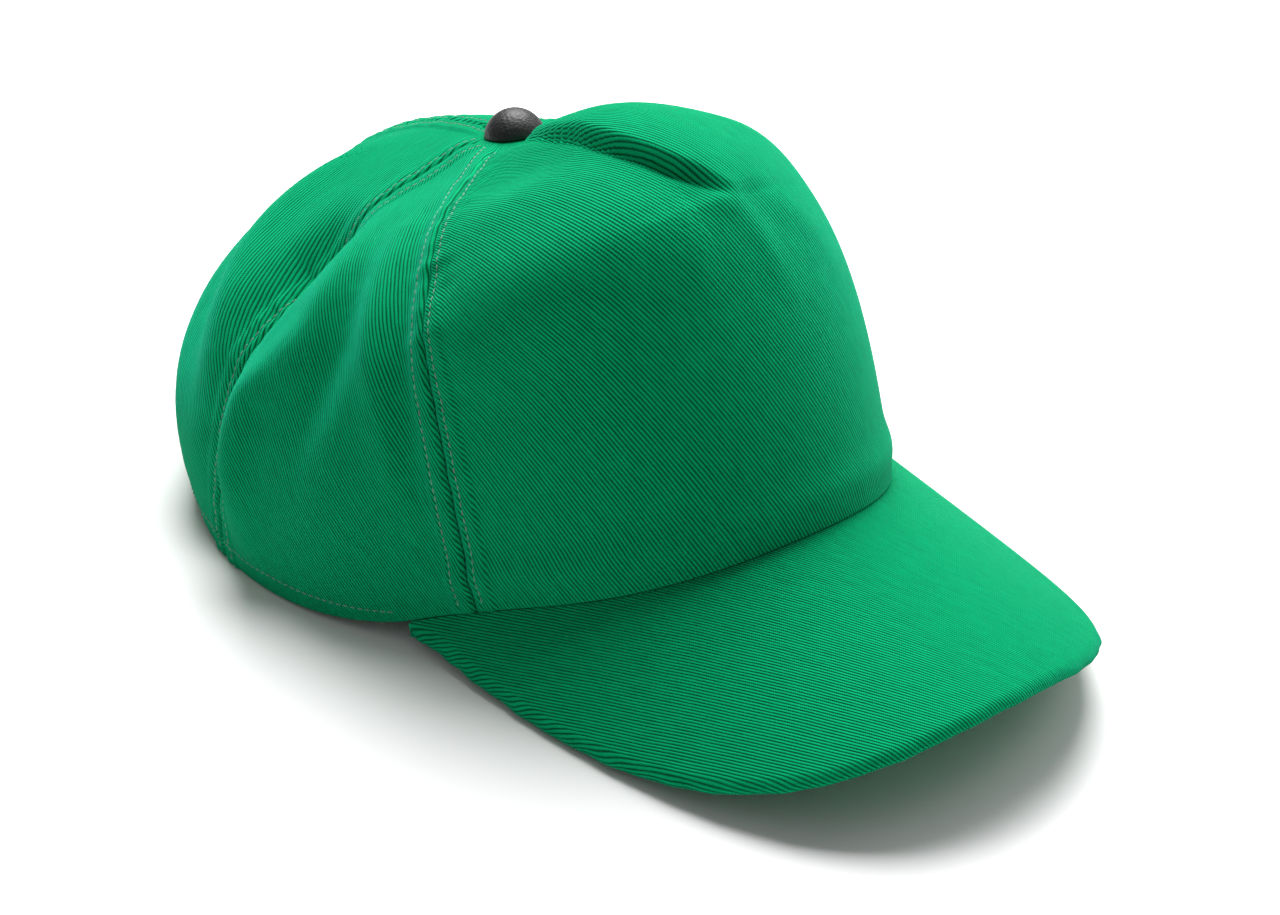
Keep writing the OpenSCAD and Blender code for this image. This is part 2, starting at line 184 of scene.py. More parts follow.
front_face = leant_face(np.linspace(-FRONT_SEAM, FRONT_SEAM, 81)[:, None], np.linspace(0, 0.9, 41))
side_face = leant_face(np.linspace(FRONT_SEAM, SIDE_SEAM, 81)[:, None], np.linspace(0, 0.9, 41))
ground_shift = np.array([0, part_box("front_panel")[0].y - front_face[..., 1].min(),
                         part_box("side_panel_left")[0].z - side_face[..., 2].min()])


def face(turn, rise):
    """A point on the crown's smooth outer face, in the cap's own place."""
    return leant_face(turn, rise) + ground_shift


def outward(turn, rise):
    round_step = face(turn + 0.001, rise) - face(turn - 0.001, rise)
    up_step = face(turn, rise + 0.001) - face(turn, rise - 0.001)
    normal = np.cross(round_step, up_step)
    return normal / np.linalg.norm(normal, axis=-1, keepdims=True)


# Folds of the soft cloth: a path of [angle in degrees, rise] pairs, how far it stands out and its width
folds = [
    ([(-57, 0.60), (-45, 0.64), (-33, 0.64), (-22, 0.60), (-14, 0.55)], 0.0008, 0.0080),
    ([(-60, 0.41), (-45, 0.43), (-32, 0.44), (-18, 0.45), (-5, 0.455)], 0.0060, 0.0150),
    ([(-54, 0.80), (-42, 0.78), (-30, 0.74), (-20, 0.69)], -0.0034, 0.0125),
    ([(-56, 0.58), (-56, 0.53), (-52, 0.48)], -0.0012, 0.005),
    ([(-57, 0.50), (-53, 0.42), (-47, 0.34)], 0.0009, 0.006),
    ([(8, 0.47), (16, 0.42), (22, 0.34)], 0.0008, 0.006),
    ([(3, 0.44), (5, 0.38), (6, 0.30)], 0.0007, 0.004),
    ([(-4, 0.44), (-8, 0.38), (-10, 0.31)], 0.0006, 0.005),
    ([(22, 0.62), (34, 0.60), (48, 0.52)], 0.0012, 0.009),
    ([(-8, 0.90), (16, 0.86), (34, 0.84), (52, 0.83)], -0.0040, 0.011),
    ([(-28, 0.94), (4, 0.93), (32, 0.93)], -0.0032, 0.007),
    ([(55, 0.62), (54, 0.50), (50, 0.40)], -0.0010, 0.006),
]
# The dart: its stitched line from the button to the forehead, and how far the cloth steps up beyond it
dart_turns = np.radians([-34, -25, -18, -15, -12, -9.5, -7.5, -5.5, -3, -0.5, 1.5])
dart_rises = np.array([0.90, 0.84, 0.76, 0.70, 0.645, 0.605, 0.57, 0.54, 0.51, 0.48, 0.457])
dart_steps = np.array([0.0012, 0.0021, 0.0031, 0.0036, 0.0038, 0.0039, 0.0039, 0.0036, 0.0030, 0.0019, 0.0])


def distance_to(points, path):
    """How far points are from a path of [angle, rise] pairs on the crown, and how far along it."""
    angles, rises = np.array(path, float).T
    marks = np.linspace(0, 1, 48)
    knots = np.linspace(0, 1, len(path))
    line = face(np.radians(np.interp(marks, knots, angles)), np.interp(marks, knots, rises))
    gaps = np.linalg.norm(points[..., None, :] - line, axis=-1)
    return gaps.min(-1), marks[gaps.argmin(-1)]


def ring_radius(turn, rise):
    """How far the crown is from its own axis."""
    points = upright_crown(*np.broadcast_arrays(np.asarray(turn, float), np.asarray(rise, float)))
    return np.hypot(points[..., 0], points[..., 1] - TOP_SHIFT * smooth(rise))


DART_SINK = 0.4
DART_NEAR = 0.016
DART_TURN = 0.0042
DART_FAR = 0.018
TIP_PUCKER = 0.0011


def dart_height(points, turn, rise):
    """The cloth lies low up to the dart's stitched line, and stands up full beyond it."""
    line_turn = np.interp(-rise, -dart_rises, dart_turns)
    step = np.interp(-rise, -dart_rises, dart_steps, 0, 0)
    gap, _ = distance_to(points, list(zip(np.degrees(dart_turns), dart_rises)))
    gap = gap * np.sign(turn - line_turn)
    low = -DART_SINK * step
    near = low * np.exp(-(np.minimum(gap, 0) / DART_NEAR) ** 2)
    past = np.maximum(gap - DART_TURN, 0)
    far = (low + step * smooth(gap / DART_TURN)) * np.exp(-(past / DART_FAR) ** 2)
    crease = -0.30 * step * np.exp(-((gap - 0.0003) / 0.0013) ** 2)
    tip = face(np.array(dart_turns[-1]), np.array(dart_rises[-1]))
    from_tip = np.linalg.norm(points - tip, axis=-1)
    pucker = TIP_PUCKER * np.exp(-((from_tip - 0.001) / 0.0042) ** 2)
    return np.where(gap < 0, near, far) + crease + pucker


BROW_LIFT = 0.0012
BROW_HEIGHT = 0.0085
BROW_WIDTH = 0.0048
BROW_END = 1.27
BROW_FADE = 0.2
valleys = []


def fold_height(points, turn, rise):
    """How far the soft cloth stands out from the smooth crown."""
    height = dart_height(points, turn, rise)
    for path, lift, width in folds:
        gap, along = distance_to(points, path)
        height = height + lift * np.exp(-(gap / width) ** 2) * (0.35 + 0.65 * np.sin(math.pi * along))
    for valley in valleys:
        height = height + valley(turn, rise)
    x, y, z = np.moveaxis(points, -1, 0) * 1000
    unrest = (np.sin(x / 11 + z / 17) + np.sin(y / 13 - z / 9 + 1) + np.sin(x / 7 - y / 19 + 2)) * 0.00010
    above_hem = 3 * rise * wall_height(turn)
    brow = (BROW_LIFT * np.exp(-((above_hem - BROW_HEIGHT) / BROW_WIDTH) ** 2)
            * smooth((BROW_END - np.abs(turn)) / BROW_FADE))
    return (height + unrest + brow) * (1 - smooth((rise - 0.93) / 0.045))


# Each seam between panels, and how far from it the rows of top stitch run before and behind
SEAMS = ((FRONT_SEAM, (-0.0024, 0.0042)), (SIDE_SEAM, (-0.0040, 0.0026)), (math.pi, (-0.0027,)))


def seam_height(turn, rise):
    """The sewn seams: a sharp crease between two low ridges of turned cloth, held down by stitches."""
    radius = ring_radius(turn, rise)
    height = 0
    for seam, stitch_gaps in SEAMS:
        gap = (np.abs(turn) - seam) * radius
        height = height - 0.0011 * np.exp(-(gap / 0.0008) ** 2)
        height = height + 0.00055 * smooth((0.0064 - np.abs(gap)) / 0.0016)
        for stitch_gap in stitch_gaps:
            height = height - 0.00032 * np.exp(-((gap - stitch_gap) / 0.0007) ** 2)
        pucker = np.sin(rise * 130 + seam * 7) + np.sin(rise * 83 + seam * 3)
        height = height + 0.00012 * pucker * np.exp(-(gap / 0.007) ** 2)
    return height * (1 - smooth((rise - 0.92) / 0.05))


def on_crown(turn, rise, depth=0.0, sewn=False):
    """A point on the folded cloth, or a depth under it. sewn adds the panels' own seams."""
    turn, rise = np.broadcast_arrays(np.asarray(turn, float), np.asarray(rise, float))
    points = face(turn, rise)
    lift = fold_height(points, turn, rise) - depth
    if sewn:
        lift = lift + seam_height(turn, rise)
    return points + outward(turn, rise) * lift[..., None]


def flat_cut(points):
    """Where rows of points lie on the flat cloth: along each row from its middle, and up each column."""
    across = np.linalg.norm(np.diff(points, axis=1), axis=-1).cumsum(1)
    across = np.concatenate([np.zeros((len(points), 1)), across], 1)
    across = across - across[:, [points.shape[1] // 2]]
    up = np.linalg.norm(np.diff(points, axis=0), axis=-1).cumsum(0)
    up = np.concatenate([np.zeros((1, points.shape[1])), up], 0)
    return np.stack([across, up], -1)


def woven_piece(name, points, wall, lengths=None):
    """A piece of cloth from rows of points. Its UV map is its flat cut, in metres."""
    rows, columns = points.shape[0] - 1, points.shape[1] - 1
    shape = bmesh.new()
    bmesh.ops.create_grid(shape, x_segments=columns, y_segments=rows, size=0.5)
    mesh = bpy.data.meshes.new(name)
    shape.to_mesh(mesh)
    shape.free()
    flat = np.zeros(len(mesh.vertices) * 3)
    mesh.vertices.foreach_get("co", flat)
    flat = flat.reshape(-1, 3)
    column = np.rint((flat[:, 0] + 0.5) * columns).astype(int)
    row = np.rint((flat[:, 1] + 0.5) * rows).astype(int)
    mesh.vertices.foreach_set("co", points[row, column].ravel())
    lengths = flat_cut(points) if lengths is None else lengths
    corners = np.zeros(len(mesh.loops), int)
    mesh.loops.foreach_get("vertex_index", corners)
    cut = mesh.uv_layers.new(name="cut")
    cut.data.foreach_set("uv", lengths[row[corners], column[corners]].ravel())
    mesh.polygons.foreach_set("use_smooth", [True] * len(mesh.polygons))
    mesh.update()
    piece = bpy.data.objects.new(name, mesh)
    bpy.context.scene.collection.objects.link(piece)
    thicken = piece.modifiers.new("cloth", "SOLIDIFY")
    thicken.thickness = wall
    thicken.offset = -1
    piece["cut_width"], piece["cut_length"] = np.ceil(np.ptp(lengths, axis=(0, 1)) * 1000) / 1000
    return piece


def declare_cloth(piece, slot, *nodes, held="stretched", rests_on=()):
    """Hides the CAD nodes that a sewn piece of cloth stands in for, and puts it on the cap."""
    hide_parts(*nodes)
    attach(piece, "cap")


def node(tree, kind, sockets, **settings):
    """Adds a shader node, with its settings and what each socket takes."""
    made = tree.nodes.new("ShaderNode" + kind)
    for key, value in settings.items():
        setattr(made, key, value)
    for key, value in sockets.items():
        if isinstance(value, bpy.types.NodeSocket):
            tree.links.new(value, made.inputs[key])
        else:
            made.inputs[key].default_value = value
    return made


def math_node(tree, operation, *values):
    return node(tree, "Math", dict(enumerate(values)), operation=operation).outputs[0]


def new_finish(name, roughness, specular=0.3, metallic=0.0, sheen=0.0, sheen_tint=(1, 1, 1, 1)):
    finish = bpy.data.materials.new(name)
    finish.use_nodes = True
    shader = finish.node_tree.nodes["Principled BSDF"]
    shader.inputs["Roughness"].default_value = roughness
    shader.inputs["Specular IOR Level"].default_value = specular
    shader.inputs["Metallic"].default_value = metallic
    shader.inputs["Sheen Weight"].default_value = sheen
    shader.inputs["Sheen Roughness"].default_value = 0.45
    shader.inputs["Sheen Tint"].default_value = sheen_tint
    return finish, finish.node_tree, shader


def object_place(tree):
    return node(tree, "TexCoord", {}).outputs["Object"]


def flat_place(tree):
    """A place on a piece's flat cut, in metres."""
    return node(tree, "UVMap", {}, uv_map="cut").outputs["UV"]


def two_tone(tree, shader, amount, dark, light):
    """Colours a finish between two colours."""
    mixed = node(tree, "MixRGB", {"Fac": amount, "Color1": (*dark, 1), "Color2": (*light, 1)})
    tree.links.new(mixed.outputs["Color"], shader.inputs["Base Color"])


def embossed(tree, shader, height, strength, distance, inward=False):
    """Gives a finish fine relief."""
    bump = node(tree, "Bump", {"Height": height, "Strength": strength, "Distance": distance}, invert=inward)
    tree.links.new(bump.outputs["Normal"], shader.inputs["Normal"])


WALE_PITCH = 0.00086
NAP_TINT = (0.04, 1.0, 0.72, 1)


def twill(name, wale_right, wale_up, dark, light, pitch=WALE_PITCH, sheen=0.28, groove=0.0002):
    """Cotton twill: raised diagonal wales of yarn, with painted shade in the grooves between them, slubs and
    a soft nap.
    """
    finish, tree, shader = new_finish(name, 0.9, 0.04, sheen=sheen, sheen_tint=NAP_TINT)
    cut = flat_place(tree)
    wale_angle = math.atan2(wale_up, wale_right)
    turned = node(tree, "Mapping", {"Vector": cut, "Rotation": (0, 0, -wale_angle)}).outputs["Vector"]
    split = node(tree, "SeparateXYZ", {"Vector": turned})
    along, across = split.outputs["X"], split.outputs["Y"]
    slub_place = node(tree, "Mapping", {"Vector": turned, "Scale": (140, 900, 1)}).outputs["Vector"]
    slub = node(tree, "TexNoise", {"Vector": slub_place, "Scale": 1.0, "Detail": 2.0}).outputs["Fac"]
    wander = node(tree, "TexNoise", {"Vector": cut, "Scale": 70.0, "Detail": 1.0}).outputs["Fac"]
    phase = math_node(tree, "MULTIPLY", across, math.pi / pitch)
    phase = math_node(tree, "MULTIPLY_ADD", wander, 1.6, phase)
    phase = math_node(tree, "MULTIPLY_ADD", slub, 0.7, phase)
    wale = math_node(tree, "ABSOLUTE", math_node(tree, "SINE", phase))
    yarn_phase = math_node(tree, "MULTIPLY_ADD", along, 2 * math.pi / (0.75 * pitch),
                           math_node(tree, "MULTIPLY", phase, 0.9))
    yarn = math_node(tree, "SINE", yarn_phase)
    thread = math_node(tree, "MULTIPLY_ADD", yarn, 0.10, wale)
    grain = node(tree, "TexNoise", {"Vector": cut, "Scale": 2600.0, "Detail": 2.0}).outputs["Fac"]
    body = math_node(tree, "MULTIPLY_ADD", math_node(tree, "SUBTRACT", grain, 0.5), 0.45, thread)
    body = math_node(tree, "MULTIPLY_ADD", math_node(tree, "SUBTRACT", slub, 0.5), 0.5, body)
    ramp = node(tree, "MapRange", {"Value": body, "From Min": 0.1, "From Max": 1.0},
                interpolation_type="SMOOTHSTEP").outputs["Result"]
    mottle = node(tree, "TexNoise", {"Vector": cut, "Scale": 22.0, "Detail": 4.0}).outputs["Fac"]
    # The colour runs from the dark colour in the grooves between the wales, which is painted shade, to the
    # light colour on the wale tops. The slub and grain noise mixed in is the yarn's own uneven tone.
    mixed = node(tree, "MixRGB", {"Fac": ramp, "Color1": (*dark, 1), "Color2": (*light, 1)})
    worn = node(tree, "MixRGB", {"Fac": math_node(tree, "MULTIPLY_ADD", mottle, 0.5, -0.12),
                                 "Color1": mixed.outputs["Color"], "Color2": (*[c * 0.72 for c in light], 1)})
    tree.links.new(worn.outputs["Color"], shader.inputs["Base Color"])
    embossed(tree, shader, body, 0.9, groove)
    return finish


# The darker green below is painted shade for the grooves between the twill's wales. The lighter green is the
# cloth's own colour.
GREEN_GROOVE_SHADE = (0.0, 0.050, 0.016)
GREEN_LIGHT = (0.0, 0.40, 0.152)
CLOTH_WALL = 0.0007
HEM_ROLL = 0.00075
HEM_FLAP = 0.005


def crowded(count, crowds, share=0.45):
    """Places from 0 to 1 that crowd together at the ends and at evenly spaced places between."""
    s = np.linspace(0, 1, count + 1)
    return s - share * np.sin(2 * math.pi * crowds * s) / (2 * math.pi * crowds)


def arch_share(turn):
    """How far up the crown the back opening reaches."""
    from_nape = (math.pi - np.abs(turn)) / ARCH_HALF
    return np.where(from_nape < 1, ARCH_TOP * np.sqrt(np.clip(1 - from_nape ** 2, 0, 1)), 0)


def crown_cut(turns, low, levels, up):
    """The flat cut of a crown panel: across by its rings, and up by its meridians from the hem."""
    reach = ring_radius(turns, levels)
    across = ((reach[:, 1:] + reach[:, :-1]) / 2 * np.diff(turns)).cumsum(1)
    across = np.concatenate([np.zeros((len(levels), 1)), across], 1)
    foot = face(turns, low * np.linspace(0, 1, 24)[:, None])
    below = np.linalg.norm(np.diff(foot, axis=0), axis=-1).sum(0)
    return np.stack([across - across[:, [len(turns) // 2]], up + below], -1)


def sewn_panel(name, turns, finish, rows=150):
    """A crown panel: its face, and its lower edge rolled under and laid up inside."""
    low = arch_share(turns) + HEM_ROLL / (3 * wall_height(turns))
    rises = low + (PANEL_TOP - low) * np.linspace(0, 1, rows + 1)[:, None]
    outer = on_crown(turns, rises, sewn=True)
    edge, normal = outer[0], outward(turns, low)
    away = np.cross(np.gradient(edge, axis=0), normal)
    away = away / np.linalg.norm(away, axis=-1, keepdims=True)
    flap = [edge - 2 * HEM_ROLL * normal - away * HEM_FLAP * share for share in (1.0, 0.5, 0.15)]
    roll = [edge + HEM_ROLL * (math.sin(a) * away - (1 - math.cos(a)) * normal)
            for a in np.radians(np.linspace(180, 0, 9)[:-1])]
    levels = np.concatenate([np.tile(low, (len(flap) + len(roll), 1)), rises])
    up = flat_cut(np.concatenate([flap, roll, face(turns, rises)]))[..., 1]
    cut = crown_cut(turns, low, levels, up)
    panel = woven_piece(name, np.concatenate([flap, roll, outer]), CLOTH_WALL, cut)
    panel.data.materials.append(finish)
    return panel


front_twill = twill("front panel twill", 0.42, -0.91, GREEN_GROOVE_SHADE, GREEN_LIGHT)
front_turns = (crowded(230, 2, 0.5) * 2 - 1) * (FRONT_SEAM - SEAM_HAIR)
front_panel = sewn_panel("front_panel_twill", front_turns, front_twill, 190)
declare_cloth(front_panel, "twill", "front_panel", rests_on=["front_panel_backing"])

# ---------------------------------------------------------------------------
# Side panels: soft green twill with no stiffener, one over each ear. They sag between the
# stiff front and the rear panels, so the seam behind them lies in a long valley.


def seam_valley(seam, rises, depths, before, behind):
    """A valley along a seam, steep on the side panel and gentle on the rear panel."""
    def height(turn, rise):
        gap = (turn - seam) * math.copysign(1, seam) * ring_radius(turn, rise)
        depth = np.interp(rise, rises, depths)
        return -depth * np.exp(-(np.where(gap < 0, gap / before, gap / behind)) ** 2)
    return height


valleys.append(seam_valley(-SIDE_SEAM, [0, 0.05, 0.2, 0.32, 0.42, 0.53, 0.61, 0.68, 0.75, 0.82],
                           [0, 0.0010, 0.0050, 0.0056, 0.0052, 0.0074, 0.0106, 0.0080, 0.0014, 0],
                           0.0072, 0.0100))
valleys.append(seam_valley(SIDE_SEAM, [0, 0.06, 0.2, 0.35, 0.5, 0.62, 0.75, 0.88],
                           [0, 0.0006, 0.0022, 0.0038, 0.0050, 0.0044, 0.0022, 0],
                           0.008, 0.016))
folds += [
    ([(-94, 0.76), (-91, 0.64), (-91, 0.54), (-94, 0.43)], 0.0034, 0.0085),
    ([(-97, 0.46), (-103, 0.36), (-105, 0.22), (-104, 0.10)], 0.0042, 0.0066),
    ([(-83, 0.60), (-83, 0.48), (-86, 0.38), (-90, 0.28)], -0.0026, 0.0065),
    ([(-77, 0.72), (-75, 0.58), (-73, 0.47), (-71, 0.37), (-70, 0.24)], 0.0022, 0.0050),
    ([(-68, 0.76), (-66, 0.64), (-65, 0.50), (-65, 0.36), (-66, 0.20)], -0.0024, 0.0040),
    ([(-80, 0.36), (-84, 0.24), (-90, 0.14)], 0.0010, 0.0080),
    ([(94, 0.70), (92, 0.58), (95, 0.46), (100, 0.34)], 0.0022, 0.0090),
    ([(100, 0.36), (101, 0.24), (98, 0.12)], 0.0020, 0.0085),
    ([(82, 0.62), (84, 0.48), (80, 0.34)], -0.0014, 0.0070),
    ([(72, 0.68), (70, 0.52), (72, 0.36), (76, 0.22)], 0.0015, 0.0060),
]
side_twill = twill("side panel twill", 0.40, -0.92, GREEN_GROOVE_SHADE, GREEN_LIGHT, 0.00076)
side_turns = FRONT_SEAM + SEAM_HAIR + crowded(120, 1) * (SIDE_SEAM - FRONT_SEAM - 2 * SEAM_HAIR)
for side, turns in (("left", side_turns), ("right", -side_turns[::-1])):
    panel = sewn_panel(f"side_panel_{side}_twill", turns, side_twill)
    declare_cloth(panel, "twill", f"side_panel_{side}", held="hung",
                  rests_on=["front_panel_twill", f"rear_panel_{side}_twill"])

# ---------------------------------------------------------------------------
# Rear panels: the same soft twill, cut round at the nape for the back opening. They meet in
# a seam down the middle of the back and fold a little above the snap strap.

folds += [
    ([(-158, 0.70), (-148, 0.62), (-138, 0.54), (-127, 0.46), (-121, 0.39)], 0.0036, 0.0080),
    ([(-150, 0.40), (-140, 0.32), (-131, 0.22), (-127, 0.10)], 0.0020, 0.0075),
    ([(-143, 0.46), (-135, 0.36), (-122, 0.26)], -0.0016, 0.0060),
    ([(158, 0.60), (145, 0.50), (134, 0.40), (126, 0.30)], 0.0022, 0.0090),
    ([(150, 0.38), (141, 0.27), (135, 0.14)], 0.0018, 0.0075),
    ([(172, 0.66), (176, 0.54), (178, 0.44)], 0.0014, 0.0080),
    ([(-170, 0.70), (-163, 0.58), (-158, 0.48)], -0.0014, 0.0070),
    ([(128, 0.56), (136, 0.62), (146, 0.66)], -0.0014, 0.0070),
]
rear_twill = twill("rear panel twill", 0.70, -0.71, GREEN_GROOVE_SHADE, GREEN_LIGHT)
ARCH_CORNER = math.pi - ARCH_HALF
corner_turns = SIDE_SEAM + SEAM_HAIR + crowded(60, 1) * (ARCH_CORNER - SIDE_SEAM - SEAM_HAIR)
arch_turns = math.pi - ARCH_HALF * np.cos(np.linspace(0, math.pi / 2, 76)[1:])
rear_turns = np.minimum(np.concatenate([corner_turns, arch_turns]), math.pi - SEAM_HAIR)
for side, turns in (("left", rear_turns), ("right", -rear_turns[::-1])):
    panel = sewn_panel(f"rear_panel_{side}_twill", turns, rear_twill)
    declare_cloth(panel, "twill", f"rear_panel_{side}", held="hung",
                  rests_on=[f"side_panel_{side}_twill"])

# ---------------------------------------------------------------------------
# Top-stitch thread: pale grey-green cotton thread in lock stitches, in rows beside every panel
# seam, along the hem behind the bill and round the back opening.

STITCH_LENGTH = 0.0016
STITCH_PITCH = 0.0021
THREAD_HALF = 0.00020


def stitch_row(thread_mesh, turns, rises, depth=0.0, side=1, sewn=True):
    """Lays single stitches along a line on the crown, each a small spindle of thread."""
    shape = bmesh.new()
    line = on_crown(turns, rises, depth, sewn)
    normals = outward(turns, rises) * side
    steps = np.linalg.norm(np.diff(line, axis=0), axis=1)
    run = np.concatenate([[0], steps.cumsum()])
    for middle in np.arange(STITCH_PITCH / 2, run[-1], STITCH_PITCH):
        ends = [np.array([np.interp(at, run, line[:, k]) for k in range(3)])
                for at in (middle - STITCH_LENGTH / 2, middle + STITCH_LENGTH / 2)]
        normal = np.array([np.interp(middle, run, normals[:, k]) for k in range(3)])
        along = (ends[1] - ends[0]) / np.linalg.norm(ends[1] - ends[0])
        across = np.cross(normal, along)
        normal = np.cross(along, across)
        placed = Matrix.Identity(4)
        for column, axis, size in ((0, across, THREAD_HALF), (1, normal, THREAD_HALF),
                                   (2, along, STITCH_LENGTH / 2)):
            for row in range(3):
                placed[row][column] = axis[row] * size
        for row in range(3):
            placed[row][3] = ends[0][row] / 2 + ends[1][row] / 2 + normal[row] * THREAD_HALF * 0.25
        bmesh.ops.create_uvsphere(shape, u_segments=6, v_segments=5, radius=1.0, matrix=placed)
    row_mesh = bpy.data.meshes.new("stitch_row")
    shape.to_mesh(row_mesh)
    shape.free()
    thread_mesh.from_mesh(row_mesh)
    bpy.data.meshes.remove(row_mesh)


def finished(shape, name, finish, smooth_angle=180):
    """Makes a piece of a finished shape."""
    mesh = bpy.data.meshes.new(name)
    bmesh.ops.recalc_face_normals(shape, faces=shape.faces)
    shape.to_mesh(mesh)
    shape.free()
    mesh.polygons.foreach_set("use_smooth", [True] * len(mesh.polygons))
    if smooth_angle < 180:
        mesh.set_sharp_from_angle(angle=math.radians(smooth_angle))
    piece = bpy.data.objects.new(name, mesh)
    bpy.context.scene.collection.objects.link(piece)
    piece.data.materials.append(finish)
    return piece


def thread_finish(name, colour):
    """Twisted sewing thread."""
    finish, tree, shader = new_finish(name, 0.75, 0.3, sheen=0.3)
    twist = node(tree, "TexWave", {"Vector": object_place(tree), "Scale": 900.0, "Distortion": 2.0},
                 bands_direction="DIAGONAL")
    two_tone(tree, shader, twist.outputs["Fac"], [c * 0.75 for c in colour], colour)
    return finish


stitches = bmesh.new()
for seam, stitch_gaps in SEAMS:
    lowest = ARCH_TOP + 0.035 if seam == math.pi else 0.012
    rises = np.linspace(lowest, 0.945, 160)
    for gap in stitch_gaps:
        turns = seam + gap / ring_radius(seam, rises)
        for side in (-1, 1):
            stitch_row(stitches, turns * side, rises)
HEM_ROWS = (math.radians(75.5), ARCH_CORNER - math.radians(1.5))
hem_turns = np.linspace(*HEM_ROWS, 160)
hem_heights = np.interp(hem_turns, [HEM_ROWS[0], math.radians(100)], [0.0030, 0.0058])
for side in (-1, 1):
    stitch_row(stitches, hem_turns * side, hem_heights / (3 * wall_height(hem_turns)))
for gap in (0.0024, 0.0070):
    quarter = np.linspace(0.16, math.pi / 2, 120)
    turns = math.pi - (ARCH_HALF + gap / 0.11) * np.cos(quarter)
    rises = (ARCH_TOP + gap / 0.14) * np.sin(quarter)
    for side in (-1, 1):
        stitch_row(stitches, turns * side, rises)
thread = thread_finish("top stitch thread", (0.16, 0.36, 0.26))
top_stitch = finished(stitches, "top_stitch_thread", thread)
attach(top_stitch, "cap")

# ---------------------------------------------------------------------------
# Front backing: stiff white buckram laid against the front panel's inner face. It is sewn in
# with the seams and the dart, and holds the front up.

BACKING_DEPTH = 0.0016
LINING_WALL = 0.0006


def open_weave(name, dark, light, pitch):
    """Plain weave: threads over and under each other, both ways, on the piece's flat cut."""
    finish, tree, shader = new_finish(name, 0.85, 0.2, sheen=0.1)
    cut = flat_place(tree)
    split = node(tree, "SeparateXYZ", {"Vector": cut})
    across, along = (math_node(tree, "MULTIPLY", split.outputs[axis], math.pi / pitch) for axis in "XY")
    warp, weft = (math_node(tree, "ABSOLUTE", math_node(tree, "SINE", way)) for way in (across, along))
    threads = math_node(tree, "MAXIMUM", math_node(tree, "POWER", warp, 2.0),
                        math_node(tree, "POWER", weft, 2.0))
    grain = node(tree, "TexNoise", {"Vector": cut, "Scale": 1500.0, "Detail": 2.0}).outputs["Fac"]
    body = math_node(tree, "MULTIPLY_ADD", grain, 0.3, threads)
    two_tone(tree, shader, body, dark, light)
    embossed(tree, shader, body, 0.7, 0.0003)
    return finish


def layer(name, turns, rises, depth, wall, finish):
    """A layer that follows the folded crown at a depth under its face."""
    piece = woven_piece(name, on_crown(turns, rises, depth), wall)
    piece.data.materials.append(finish)
    return piece


backing_turns = np.linspace(-1, 1, 141) * (FRONT_SEAM - math.radians(1.3))
backing_rises = np.linspace(0.032, 0.9, 111)[:, None]
buckram = open_weave("buckram", (0.45, 0.45, 0.43), (0.86, 0.86, 0.83), 0.0011)
backing = layer("front_panel_backing", backing_turns, backing_rises, BACKING_DEPTH, LINING_WALL, buckram)
declare_cloth(backing, "backing", "front_backing", rests_on=["front_panel_twill"])

# ---------------------------------------------------------------------------
# Seam tapes: black cotton herringbone tape, 10 mm wide, folded over the raw seam allowances
# inside and sewn down with two rows of stitches. A binding of it lines the back opening.

TAPE_WIDTH = 0.010
TAPE_DEPTH = 0.0024
BINDING_DEPTH = 0.0016
BINDING_WIDTH = 0.0115
TAPE_WALL = 0.0005
TAPE_TOP = 0.9


def herringbone(name, dark, light, pitch):
    """Tape whose diagonal wales turn back at its middle."""
    finish, tree, shader = new_finish(name, 0.85, 0.2, sheen=0.15)
    cut = flat_place(tree)
    split = node(tree, "SeparateXYZ", {"Vector": cut})
    folded = math_node(tree, "ADD", math_node(tree, "ABSOLUTE", split.outputs["X"]), split.outputs["Y"])
    phase = math_node(tree, "MULTIPLY", folded, math.pi / pitch)
    wale = math_node(tree, "ABSOLUTE", math_node(tree, "SINE", phase))
    grain = node(tree, "TexNoise", {"Vector": cut, "Scale": 2500.0, "Detail": 2.0}).outputs["Fac"]
    body = math_node(tree, "MULTIPLY_ADD", grain, 0.4, wale)
    two_tone(tree, shader, body, dark, light)
    embossed(tree, shader, body, 0.7, 0.0002)
    return finish


tape_finish = herringbone("black herringbone tape", (0.004, 0.004, 0.005), (0.028, 0.028, 0.030), 0.0009)
across_tape = np.linspace(-0.5, 0.5, 13) * TAPE_WIDTH
tape_stitches = bmesh.new()
for name, seam, lowest in (("front_left", FRONT_SEAM, 0.032), ("front_right", -FRONT_SEAM, 0.032),
                           ("side_left", SIDE_SEAM, 0.032), ("side_right", -SIDE_SEAM, 0.032),
                           ("back", math.pi, ARCH_TOP + 0.07)):
    rises = np.linspace(lowest, TAPE_TOP, 121)
    turns = seam + across_tape / ring_radius(seam, rises)[:, None]
    tape = layer(f"seam_tape_{name}_cloth", turns, rises[:, None], TAPE_DEPTH, TAPE_WALL, tape_finish)
    declare_cloth(tape, "tape", f"seam_tape_{name}", rests_on=["front_panel_twill"])
    for gap in (-0.0036, 0.0036):
        stitch_row(tape_stitches, seam + gap / ring_radius(seam, rises), rises,
                   TAPE_DEPTH + TAPE_WALL, side=-1, sewn=False)
arch_sweep = np.linspace(0.30, math.pi - 0.30, 141)
arch_rises = (ARCH_TOP + 0.008) * np.sin(arch_sweep)
binding_turns = math.pi + (ARCH_HALF + 0.005) * -np.cos(arch_sweep)
outer_rises = (ARCH_TOP + BINDING_WIDTH / 0.14) * np.sin(arch_sweep)
outer_turns = math.pi + (ARCH_HALF + BINDING_WIDTH / 0.11) * -np.cos(arch_sweep)
part = np.linspace(0, 1, 9)[:, None]
